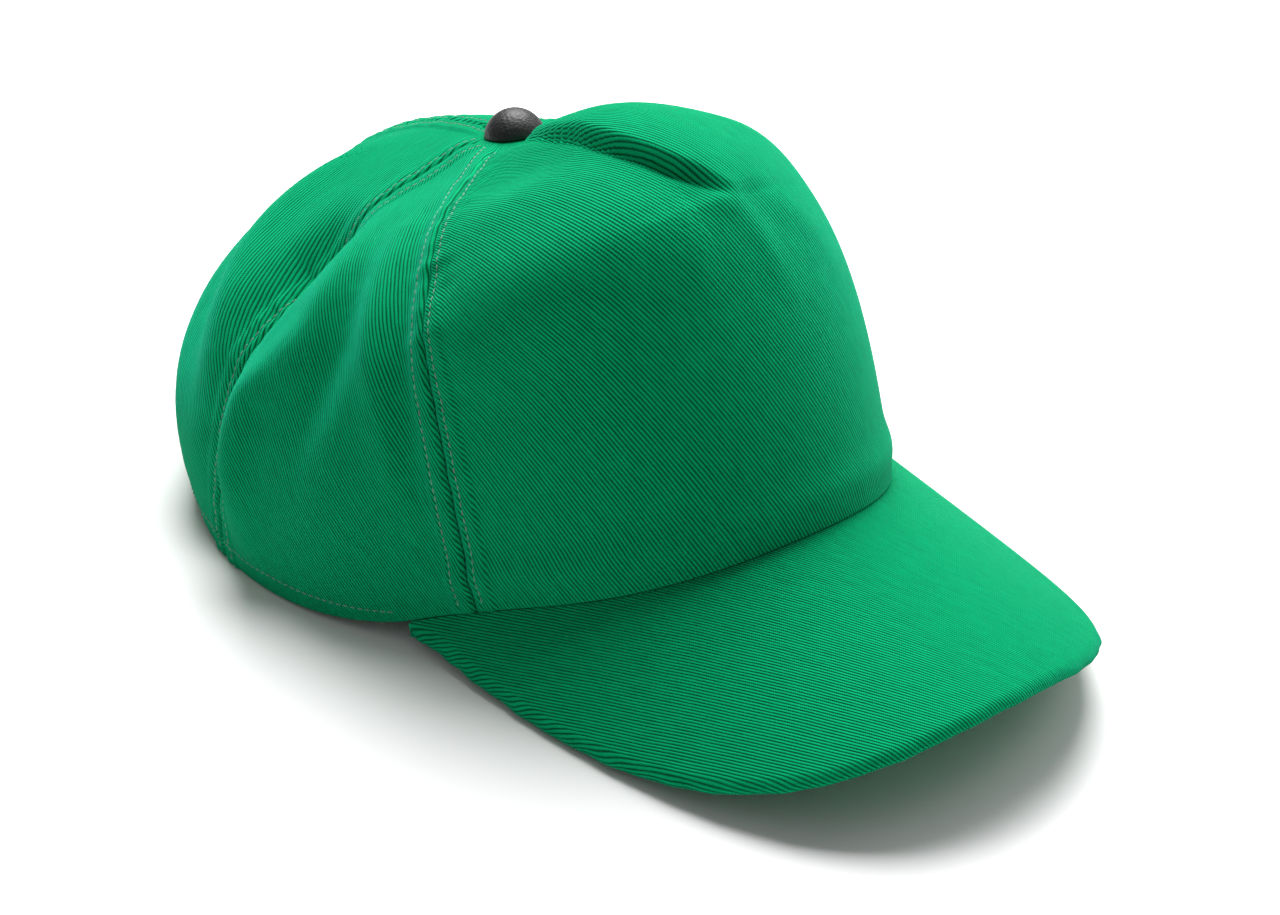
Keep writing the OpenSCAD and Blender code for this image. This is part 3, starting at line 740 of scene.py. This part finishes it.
binding = layer("back_opening_binding", binding_turns * (1 - part) + outer_turns * part,
                arch_rises * (1 - part) + outer_rises * part, BINDING_DEPTH, TAPE_WALL, tape_finish)
declare_cloth(binding, "tape", "back_arch_binding",
              rests_on=["rear_panel_left_twill", "rear_panel_right_twill"])
tape_thread = thread_finish("tape thread", (0.10, 0.22, 0.16))
tape_stitch = finished(tape_stitches, "seam_tape_stitch_thread", tape_thread)
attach(tape_stitch, "cap")

# ---------------------------------------------------------------------------
# Sweatband: a band of fine black twill over a thin strip of foam, sewn to the hem all round
# from one side of the back opening to the other. A blank care label is sewn in behind.

BAND_DEPTH = 0.0037
BAND_WALL = 0.0008
BAND_HEIGHT = 0.031
CORE_DEPTH = 0.0029
CORE_WALL = 0.0006
LABEL_WALL = 0.0004
BAND_END = math.radians(148)


def round_the_hem(name, turns, heights, depth, wall, finish):
    """A strip that follows the hem at set heights above it."""
    return layer(name, turns, heights[:, None] / (3 * wall_height(turns)), depth, wall, finish)


band_turns = np.linspace(-BAND_END, BAND_END, 301)
# The darker black below is painted shade for the grooves between the band twill's wales. The lighter one is
# the band's own colour.
BAND_GROOVE_SHADE = (0.003, 0.003, 0.004)
BAND_LIGHT = (0.020, 0.020, 0.022)
band_twill = twill("black band twill", 0.7, 0.7, BAND_GROOVE_SHADE, BAND_LIGHT, 0.0007, 0.12, 0.00012)
band = round_the_hem("sweatband_cloth", band_turns, np.linspace(0.0004, BAND_HEIGHT, 25), BAND_DEPTH,
                     BAND_WALL, band_twill)
declare_cloth(band, "sweatband", "sweatband", rests_on=["sweatband_foam"])
foam, foam_tree, foam_shader = new_finish("grey foam", 0.9, 0.1)
cells = node(foam_tree, "TexVoronoi", {"Vector": object_place(foam_tree), "Scale": 1600.0})
two_tone(foam_tree, foam_shader, cells.outputs["Distance"], (0.05, 0.05, 0.05), (0.2, 0.2, 0.2))
core = round_the_hem("sweatband_foam", np.linspace(-BAND_END + 0.02, BAND_END - 0.02, 221),
                     np.linspace(0.003, BAND_HEIGHT - 0.003, 13), CORE_DEPTH, CORE_WALL, foam)
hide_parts("sweatband_core")
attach(core, "cap")
satin, satin_tree, satin_shader = new_finish("white satin", 0.4, 0.4, sheen=0.3)
satin_wave = node(satin_tree, "TexWave", {"Vector": flat_place(satin_tree), "Scale": 500.0,
                                          "Distortion": 1.0})
two_tone(satin_tree, satin_shader, satin_wave.outputs["Fac"], (0.72, 0.72, 0.70), (0.86, 0.86, 0.84))
label_turns = np.radians(np.linspace(128, 138, 21))
label = round_the_hem("care_label_satin", label_turns, np.linspace(0.004, 0.028, 25),
                      BAND_DEPTH + BAND_WALL + 0.0002, LABEL_WALL, satin)
declare_cloth(label, "label", "care_label", held="hung", rests_on=["sweatband_cloth"])

# ---------------------------------------------------------------------------
# Bill: a curved plastic board between a top and an under cover of the same green twill. The
# covers are sewn together round the rim and turned, so the rim is round and shows no stitches.

BILL_THICK = 0.0035
BILL_CLOTH = 0.0007
BILL_TUCK = 0.0035
BILL_END = BILL_ANGLE - math.radians(1.2)
RIM_RADIUS = BILL_THICK / 2
BOARD_SHARE = 0.93
BOARD_INSET = 0.0008
SEWN_GAP = 0.0001


def bill_lines(turn):
    """The bill in plan: where each line leaves the hem and where it meets the rim."""
    def hem(angle):
        reach = hem_radius(angle)
        return np.stack([reach * np.sin(angle), -reach * np.cos(angle)], -1)
    u = (1 - np.abs(turn) / BILL_ANGLE)[..., None]
    corner = hem(np.array(BILL_ANGLE))
    leave = math.radians(-9.5)
    side = corner + 0.023 * np.array([math.sin(leave), -math.cos(leave)])
    front, middle = np.array([0.078, -0.155]), np.array([0, -0.155])
    rim = ((1 - u) ** 3 * corner + 3 * u * (1 - u) ** 2 * side
           + 3 * u ** 2 * (1 - u) * front + u ** 3 * middle)
    rim[..., 0] = rim[..., 0] * np.where(turn < 0, -1, 1)
    return hem(turn), rim


def bent_length(x):
    """Length along the bill's curve from its middle line, which the cloth follows."""
    slope = 2 * BILL_CURVE * x
    return (slope * np.sqrt(1 + slope * slope) + np.arcsinh(slope)) / (4 * BILL_CURVE)


def bill_points(turn, rows, rim_angles, under=False, inset=0.0, down=0.0):
    """Rows of points from the tuck under the hem out to the rim and round it, with their flat cut."""
    hem, rim = bill_lines(turn)
    width = np.linalg.norm(rim - hem, axis=-1, keepdims=True)
    out = (rim - hem) / width
    radius = np.minimum(RIM_RADIUS, 0.45 * width)
    last = 1 - (radius + inset) / width
    layers, cuts = [], []
    places = [hem * (1 - BILL_TUCK / hem_radius(turn)[:, None])]
    places += [hem + (rim - hem) * last * part for part in rows]
    for number, xy in enumerate(places):
        flat_xy = hem if number == 0 else xy
        drop = (BILL_THICK if under else down) * np.ones(len(turn))
        layers.append(np.stack([xy[:, 0], xy[:, 1], bill_height(*flat_xy.T) - SEWN_GAP - drop], -1))
        cuts.append(np.stack([bent_length(xy[:, 0]), xy[:, 1]], -1))
    ripple = (np.sin(turn * 61) + np.sin(turn * 97 + 1) + np.sin(turn * 37 + 2))[:, None] * 0.00012
    for angle in rim_angles:
        bulge = radius + ripple * math.sin(angle)
        xy = places[-1] + out * bulge * math.sin(angle)
        drop = BILL_THICK / 2 * (1 - math.cos(angle))
        layers.append(np.stack([xy[:, 0], xy[:, 1], bill_height(*xy.T) - SEWN_GAP - drop], -1))
        turned = math.pi - angle if under else angle
        cuts.append(cuts[len(places) - 1] + out * radius * turned)
    return lean_back(np.array(layers)) + ground_shift, np.array(cuts)


bill_twill = twill("bill twill", 0.43, -0.90, GREEN_GROOVE_SHADE, GREEN_LIGHT, 0.00068)
under_twill = twill("bill under twill", 0.43, 0.90, GREEN_GROOVE_SHADE, GREEN_LIGHT, 0.00068)
bill_turns = np.linspace(-1, 1, 261) * BILL_END
bill_rows = np.linspace(0, 1, 70)
top_points, top_cut = bill_points(bill_turns[::-1], bill_rows, np.radians(np.linspace(12, 108, 9)))
bill_top = woven_piece("bill_top_twill", top_points, BILL_CLOTH, top_cut)
bill_top.data.materials.append(bill_twill)
declare_cloth(bill_top, "twill", "bill_top_cover", rests_on=["bill_board_sheet"])
under_points, under_cut = bill_points(bill_turns, bill_rows, np.radians(np.linspace(168, 111, 6)), under=True)
bill_under = woven_piece("bill_under_twill", under_points, BILL_CLOTH, under_cut)
bill_under.data.materials.append(under_twill)
declare_cloth(bill_under, "twill", "bill_under_cover", rests_on=["bill_board_sheet"])
board_finish, board_tree, board_shader = new_finish("white board plastic", 0.45, 0.4)
board_noise = node(board_tree, "TexNoise", {"Vector": object_place(board_tree), "Scale": 120.0})
two_tone(board_tree, board_shader, board_noise.outputs["Fac"], (0.7, 0.7, 0.68), (0.82, 0.82, 0.8))
board_points, board_cut = bill_points(bill_turns[::-1] * BOARD_SHARE, bill_rows[::2], [],
                                      inset=BOARD_INSET, down=BILL_CLOTH + SEWN_GAP)
board = woven_piece("bill_board_sheet", board_points, BILL_THICK - 2 * (BILL_CLOTH + SEWN_GAP), board_cut)
board.data.materials.append(board_finish)
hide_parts("bill_board")
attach(board, "cap")

# ---------------------------------------------------------------------------
# Button: a domed steel shell covered in black grained cloth, riveted through the five panels
# to a steel washer inside. It hides the points of the panels.

BUTTON_RADIUS = 0.0078
BUTTON_HEIGHT = 0.0066
BUTTON_LEAN = math.radians(12)
BUTTON_SKIN = 0.0007

button_finish, button_tree, button_shader = new_finish("black button cloth", 0.5, 0.4)
button_spot = object_place(button_tree)
pebbles = node(button_tree, "TexVoronoi", {"Vector": button_spot, "Scale": 1500.0}, feature="SMOOTH_F1")
wear = node(button_tree, "TexNoise", {"Vector": button_spot, "Scale": 500.0, "Detail": 3.0})
pebble_height = math_node(button_tree, "MULTIPLY_ADD", wear.outputs["Fac"], 0.6, pebbles.outputs["Distance"])
two_tone(button_tree, button_shader, pebble_height, (0.018, 0.018, 0.019), (0.005, 0.005, 0.006))
embossed(button_tree, button_shader, pebble_height, 0.5, 0.00025, inward=True)

ball = (BUTTON_RADIUS ** 2 + BUTTON_HEIGHT ** 2) / (2 * BUTTON_HEIGHT)
dome = bmesh.new()
bmesh.ops.create_uvsphere(dome, u_segments=72, v_segments=56, radius=ball)
bmesh.ops.translate(dome, verts=dome.verts, vec=(0, 0, BUTTON_HEIGHT - ball))
bmesh.ops.bisect_plane(dome, geom=dome.verts[:] + dome.edges[:] + dome.faces[:], plane_co=(0, 0, 0.0004),
                       plane_no=(0, 0, 1), clear_inner=True)
rim_edges = [edge for edge in dome.edges if edge.is_boundary]
for inward, drop in ((0.995, 0.0003), (0.94, 0.00025), (0.86, 0.0)):
    grown = bmesh.ops.extrude_edge_only(dome, edges=rim_edges)["geom"]
    rim_edges = [item for item in grown if isinstance(item, bmesh.types.BMEdge)]
    ring = [item for item in grown if isinstance(item, bmesh.types.BMVert)]
    bmesh.ops.scale(dome, verts=ring, vec=(inward, inward, 1))
    bmesh.ops.translate(dome, verts=ring, vec=(0, 0, -drop))
seat = Vector(face(0.0, 1.0))
seat_turn = Matrix.Translation(seat) @ Matrix.Rotation(-BUTTON_LEAN, 4, "X")
bmesh.ops.transform(dome, matrix=seat_turn @ Matrix.Translation((0, 0, SEWN_GAP)), verts=dome.verts)
button = finished(dome, "button_cover_cloth", button_finish)
button_wall = button.modifiers.new("cloth", "SOLIDIFY")
button_wall.thickness = BUTTON_SKIN
button_wall.offset = -1
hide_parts("button_cover")
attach(button, "cap")

steel, steel_tree, steel_shader = new_finish("rivet steel", 0.3, metallic=1.0)
scratches = node(steel_tree, "TexNoise", {"Vector": object_place(steel_tree), "Scale": 700.0})
two_tone(steel_tree, steel_shader, scratches.outputs["Fac"], (0.45, 0.45, 0.46), (0.7, 0.7, 0.7))
for name in ("button_shell", "button_washer"):
    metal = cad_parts[name]
    metal.data.materials.clear()
    metal.data.materials.append(steel)

# ---------------------------------------------------------------------------
# Snap strap: two moulded straps of black plastic, each sewn in under a rear panel's corner.
# One has six round holes and passes outside the other, whose six pegs press into them.

STRAP_DEPTH = 0.0015
STRAP_WALL = 0.001
STRAP_STEP = 0.0014
STRAP_HEIGHT = 0.017
STRAP_LOW = 0.001 / (3 * NAPE_WALL)
STRAP_HIGH = STRAP_LOW + STRAP_HEIGHT / (3 * NAPE_WALL)
STRAP_ROOT = 0.044
STRAP_OVERLAP = 0.023
STRAP_TAB = 0.0265
TIP_RADIUS = 0.0085
SNAP_PITCH = 0.009
SNAP_PLACES = [(number - 2) * SNAP_PITCH for number in range(6)]
HOLE_RADIUS = 0.0024
PEG_RADIUS = 0.0016

plastic, plastic_tree, plastic_shader = new_finish("black strap plastic", 0.38, 0.45)
plastic_spot = object_place(plastic_tree)
haze = node(plastic_tree, "TexNoise", {"Vector": plastic_spot, "Scale": 90.0, "Detail": 3.0})
two_tone(plastic_tree, plastic_shader, haze.outputs["Fac"], (0.008, 0.008, 0.009), (0.022, 0.022, 0.023))
skin = node(plastic_tree, "TexNoise", {"Vector": plastic_spot, "Scale": 2200.0, "Detail": 1.0})
embossed(plastic_tree, plastic_shader, skin.outputs["Fac"], 0.15, 0.0001)


def strap_place(run, share, depth):
    """A point on a strap: run goes from the nape to the left, and share from its low edge to its high one."""
    turn = math.pi - run / NAPE_REACH
    rise = STRAP_LOW + (STRAP_HIGH - STRAP_LOW) * share
    return face(turn, rise) - outward(turn, rise) * np.asarray(depth)[..., None]


def baked(piece):
    """Applies a piece's modifiers to its mesh."""
    seen = piece.evaluated_get(bpy.context.evaluated_depsgraph_get())
    piece.data = bpy.data.meshes.new_from_object(seen)
    piece.modifiers.clear()


def snap_cylinder(shape, run, low, high, radius, bevel=0.0):
    """A round bar along the strap's own normal, between two depths."""
    start, end = (Vector(strap_place(run, 0.5, np.array(depth))) for depth in (high, low))
    along = end - start
    turned = Matrix.Translation((start + end) / 2) @ along.to_track_quat("Z", "Y").to_matrix().to_4x4()
    bar = bmesh.ops.create_cone(shape, cap_ends=True, segments=40, radius1=radius, radius2=radius,
                                depth=along.length, matrix=turned)
    if bevel:
        top = [edge for edge in shape.edges if all(v in bar["verts"] for v in edge.verts)
               and all((v.co - end).length < radius * 1.2 for v in edge.verts)]
        bmesh.ops.bevel(shape, geom=top, offset=bevel, segments=3, profile=0.5, material=-1, affect="EDGES")


def moulded_strap(name, side, step):
    """A strap from its rounded tip to the end of the tab that is sewn under the rear panel."""
    length = STRAP_OVERLAP + STRAP_ROOT + STRAP_TAB
    tip = TIP_RADIUS * (1 - np.cos(np.linspace(0.05, math.pi / 2, 14)))
    from_tip = np.concatenate([tip, np.linspace(TIP_RADIUS, length, 91)[1:]])
    to_round = np.maximum(1 - from_tip / TIP_RADIUS, 0)
    half = np.sqrt(1 - to_round ** 2)
    run = (from_tip - STRAP_OVERLAP) * side
    order = slice(None, None, -1) if side > 0 else slice(None)
    run, half, from_root = run[order], half[order], (STRAP_OVERLAP + STRAP_ROOT - from_tip)[order]
    share = 0.5 + np.linspace(-0.5, 0.5, 15)[:, None] * half
    depth = STRAP_DEPTH - step * smooth((from_root - 0.004) / 0.016)
    points = strap_place(*np.broadcast_arrays(run, share, depth))
    strap = woven_piece(name, points, STRAP_WALL)
    baked(strap)
    return strap


def cut_holes(strap, runs, depth):
    """Cuts round snap holes through a strap."""
    tools = bmesh.new()
    for run in runs:
        snap_cylinder(tools, run, depth - 0.003, depth + 0.004, HOLE_RADIUS)
    tool = finished(tools, "hole_tool", plastic)
    cut = strap.modifiers.new("holes", "BOOLEAN")
    cut.operation = "DIFFERENCE"
    cut.solver = "EXACT"
    cut.object = tool
    bpy.context.view_layer.update()
    baked(strap)
    bpy.data.objects.remove(tool)


def strap_finish(strap):
    """Cleans a strap's mesh, keeps its edges crisp and gives it its plastic."""
    cleaned = bmesh.new()
    cleaned.from_mesh(strap.data)
    bmesh.ops.remove_doubles(cleaned, verts=cleaned.verts, dist=0.000005)
    cleaned.to_mesh(strap.data)
    cleaned.free()
    strap.data.materials.clear()
    strap.data.materials.append(plastic)
    strap.data.polygons.foreach_set("use_smooth", [True] * len(strap.data.polygons))
    strap.data.set_sharp_from_angle(angle=math.radians(35))


holed_strap = moulded_strap("holed_strap_plastic", -1, STRAP_STEP)
cut_holes(holed_strap, [-place for place in SNAP_PLACES], STRAP_DEPTH - STRAP_STEP)
strap_finish(holed_strap)
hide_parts("strap_holes", "strap_tab_right")
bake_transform(holed_strap)

pegged_strap = moulded_strap("pegged_strap_plastic", 1, 0.0)
strap_finish(pegged_strap)
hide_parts("strap_pegs", "strap_tab_left")
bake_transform(pegged_strap)
pegs = bmesh.new()
for place in SNAP_PLACES:
    snap_cylinder(pegs, place, STRAP_DEPTH - STRAP_STEP - 0.0002, STRAP_DEPTH + STRAP_WALL / 2,
                  PEG_RADIUS, bevel=0.0004)
peg_row = finished(pegs, "snap_pegs_plastic", plastic, 25)
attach(peg_row, "strap_with_pegs")

# ---------------------------------------------------------------------------
# Studio: a plain pale floor, one large soft light behind and over the cap, a weaker one on the
# right and an even white surround.


def area_light(name, turn, tilt, distance, size, power):
    lamp = bpy.data.lights.new(name, "AREA")
    lamp.size = size
    lamp.energy = power
    held = bpy.data.objects.new(name, lamp)
    turn, tilt = math.radians(turn), math.radians(tilt)
    toward = Vector((math.sin(turn) * math.cos(tilt), -math.cos(turn) * math.cos(tilt), math.sin(tilt)))
    held.location = look_at + distance * toward
    held.rotation_euler = toward.to_track_quat("Z", "Y").to_euler()
    bpy.context.scene.collection.objects.link(held)


area_light("key", 138, 58, 1.5, 1.1, 52)
area_light("right", 80, 35, 1.5, 1.0, 6)
world = bpy.data.worlds.new("studio")
world.use_nodes = True
world.node_tree.nodes["Background"].inputs["Color"].default_value = (1, 1, 1, 1)
world.node_tree.nodes["Background"].inputs["Strength"].default_value = 0.26
bpy.context.scene.world = world
bpy.context.scene.view_settings.view_transform = "Standard"
floor_finish, _, floor_shader = new_finish("floor paint", 0.9, 0.1)
floor_shader.inputs["Base Color"].default_value = (0.86, 0.86, 0.86, 1)
floor_shape = bmesh.new()
bmesh.ops.create_grid(floor_shape, x_segments=1, y_segments=1, size=8.0)
floor = finished(floor_shape, "floor", floor_finish)
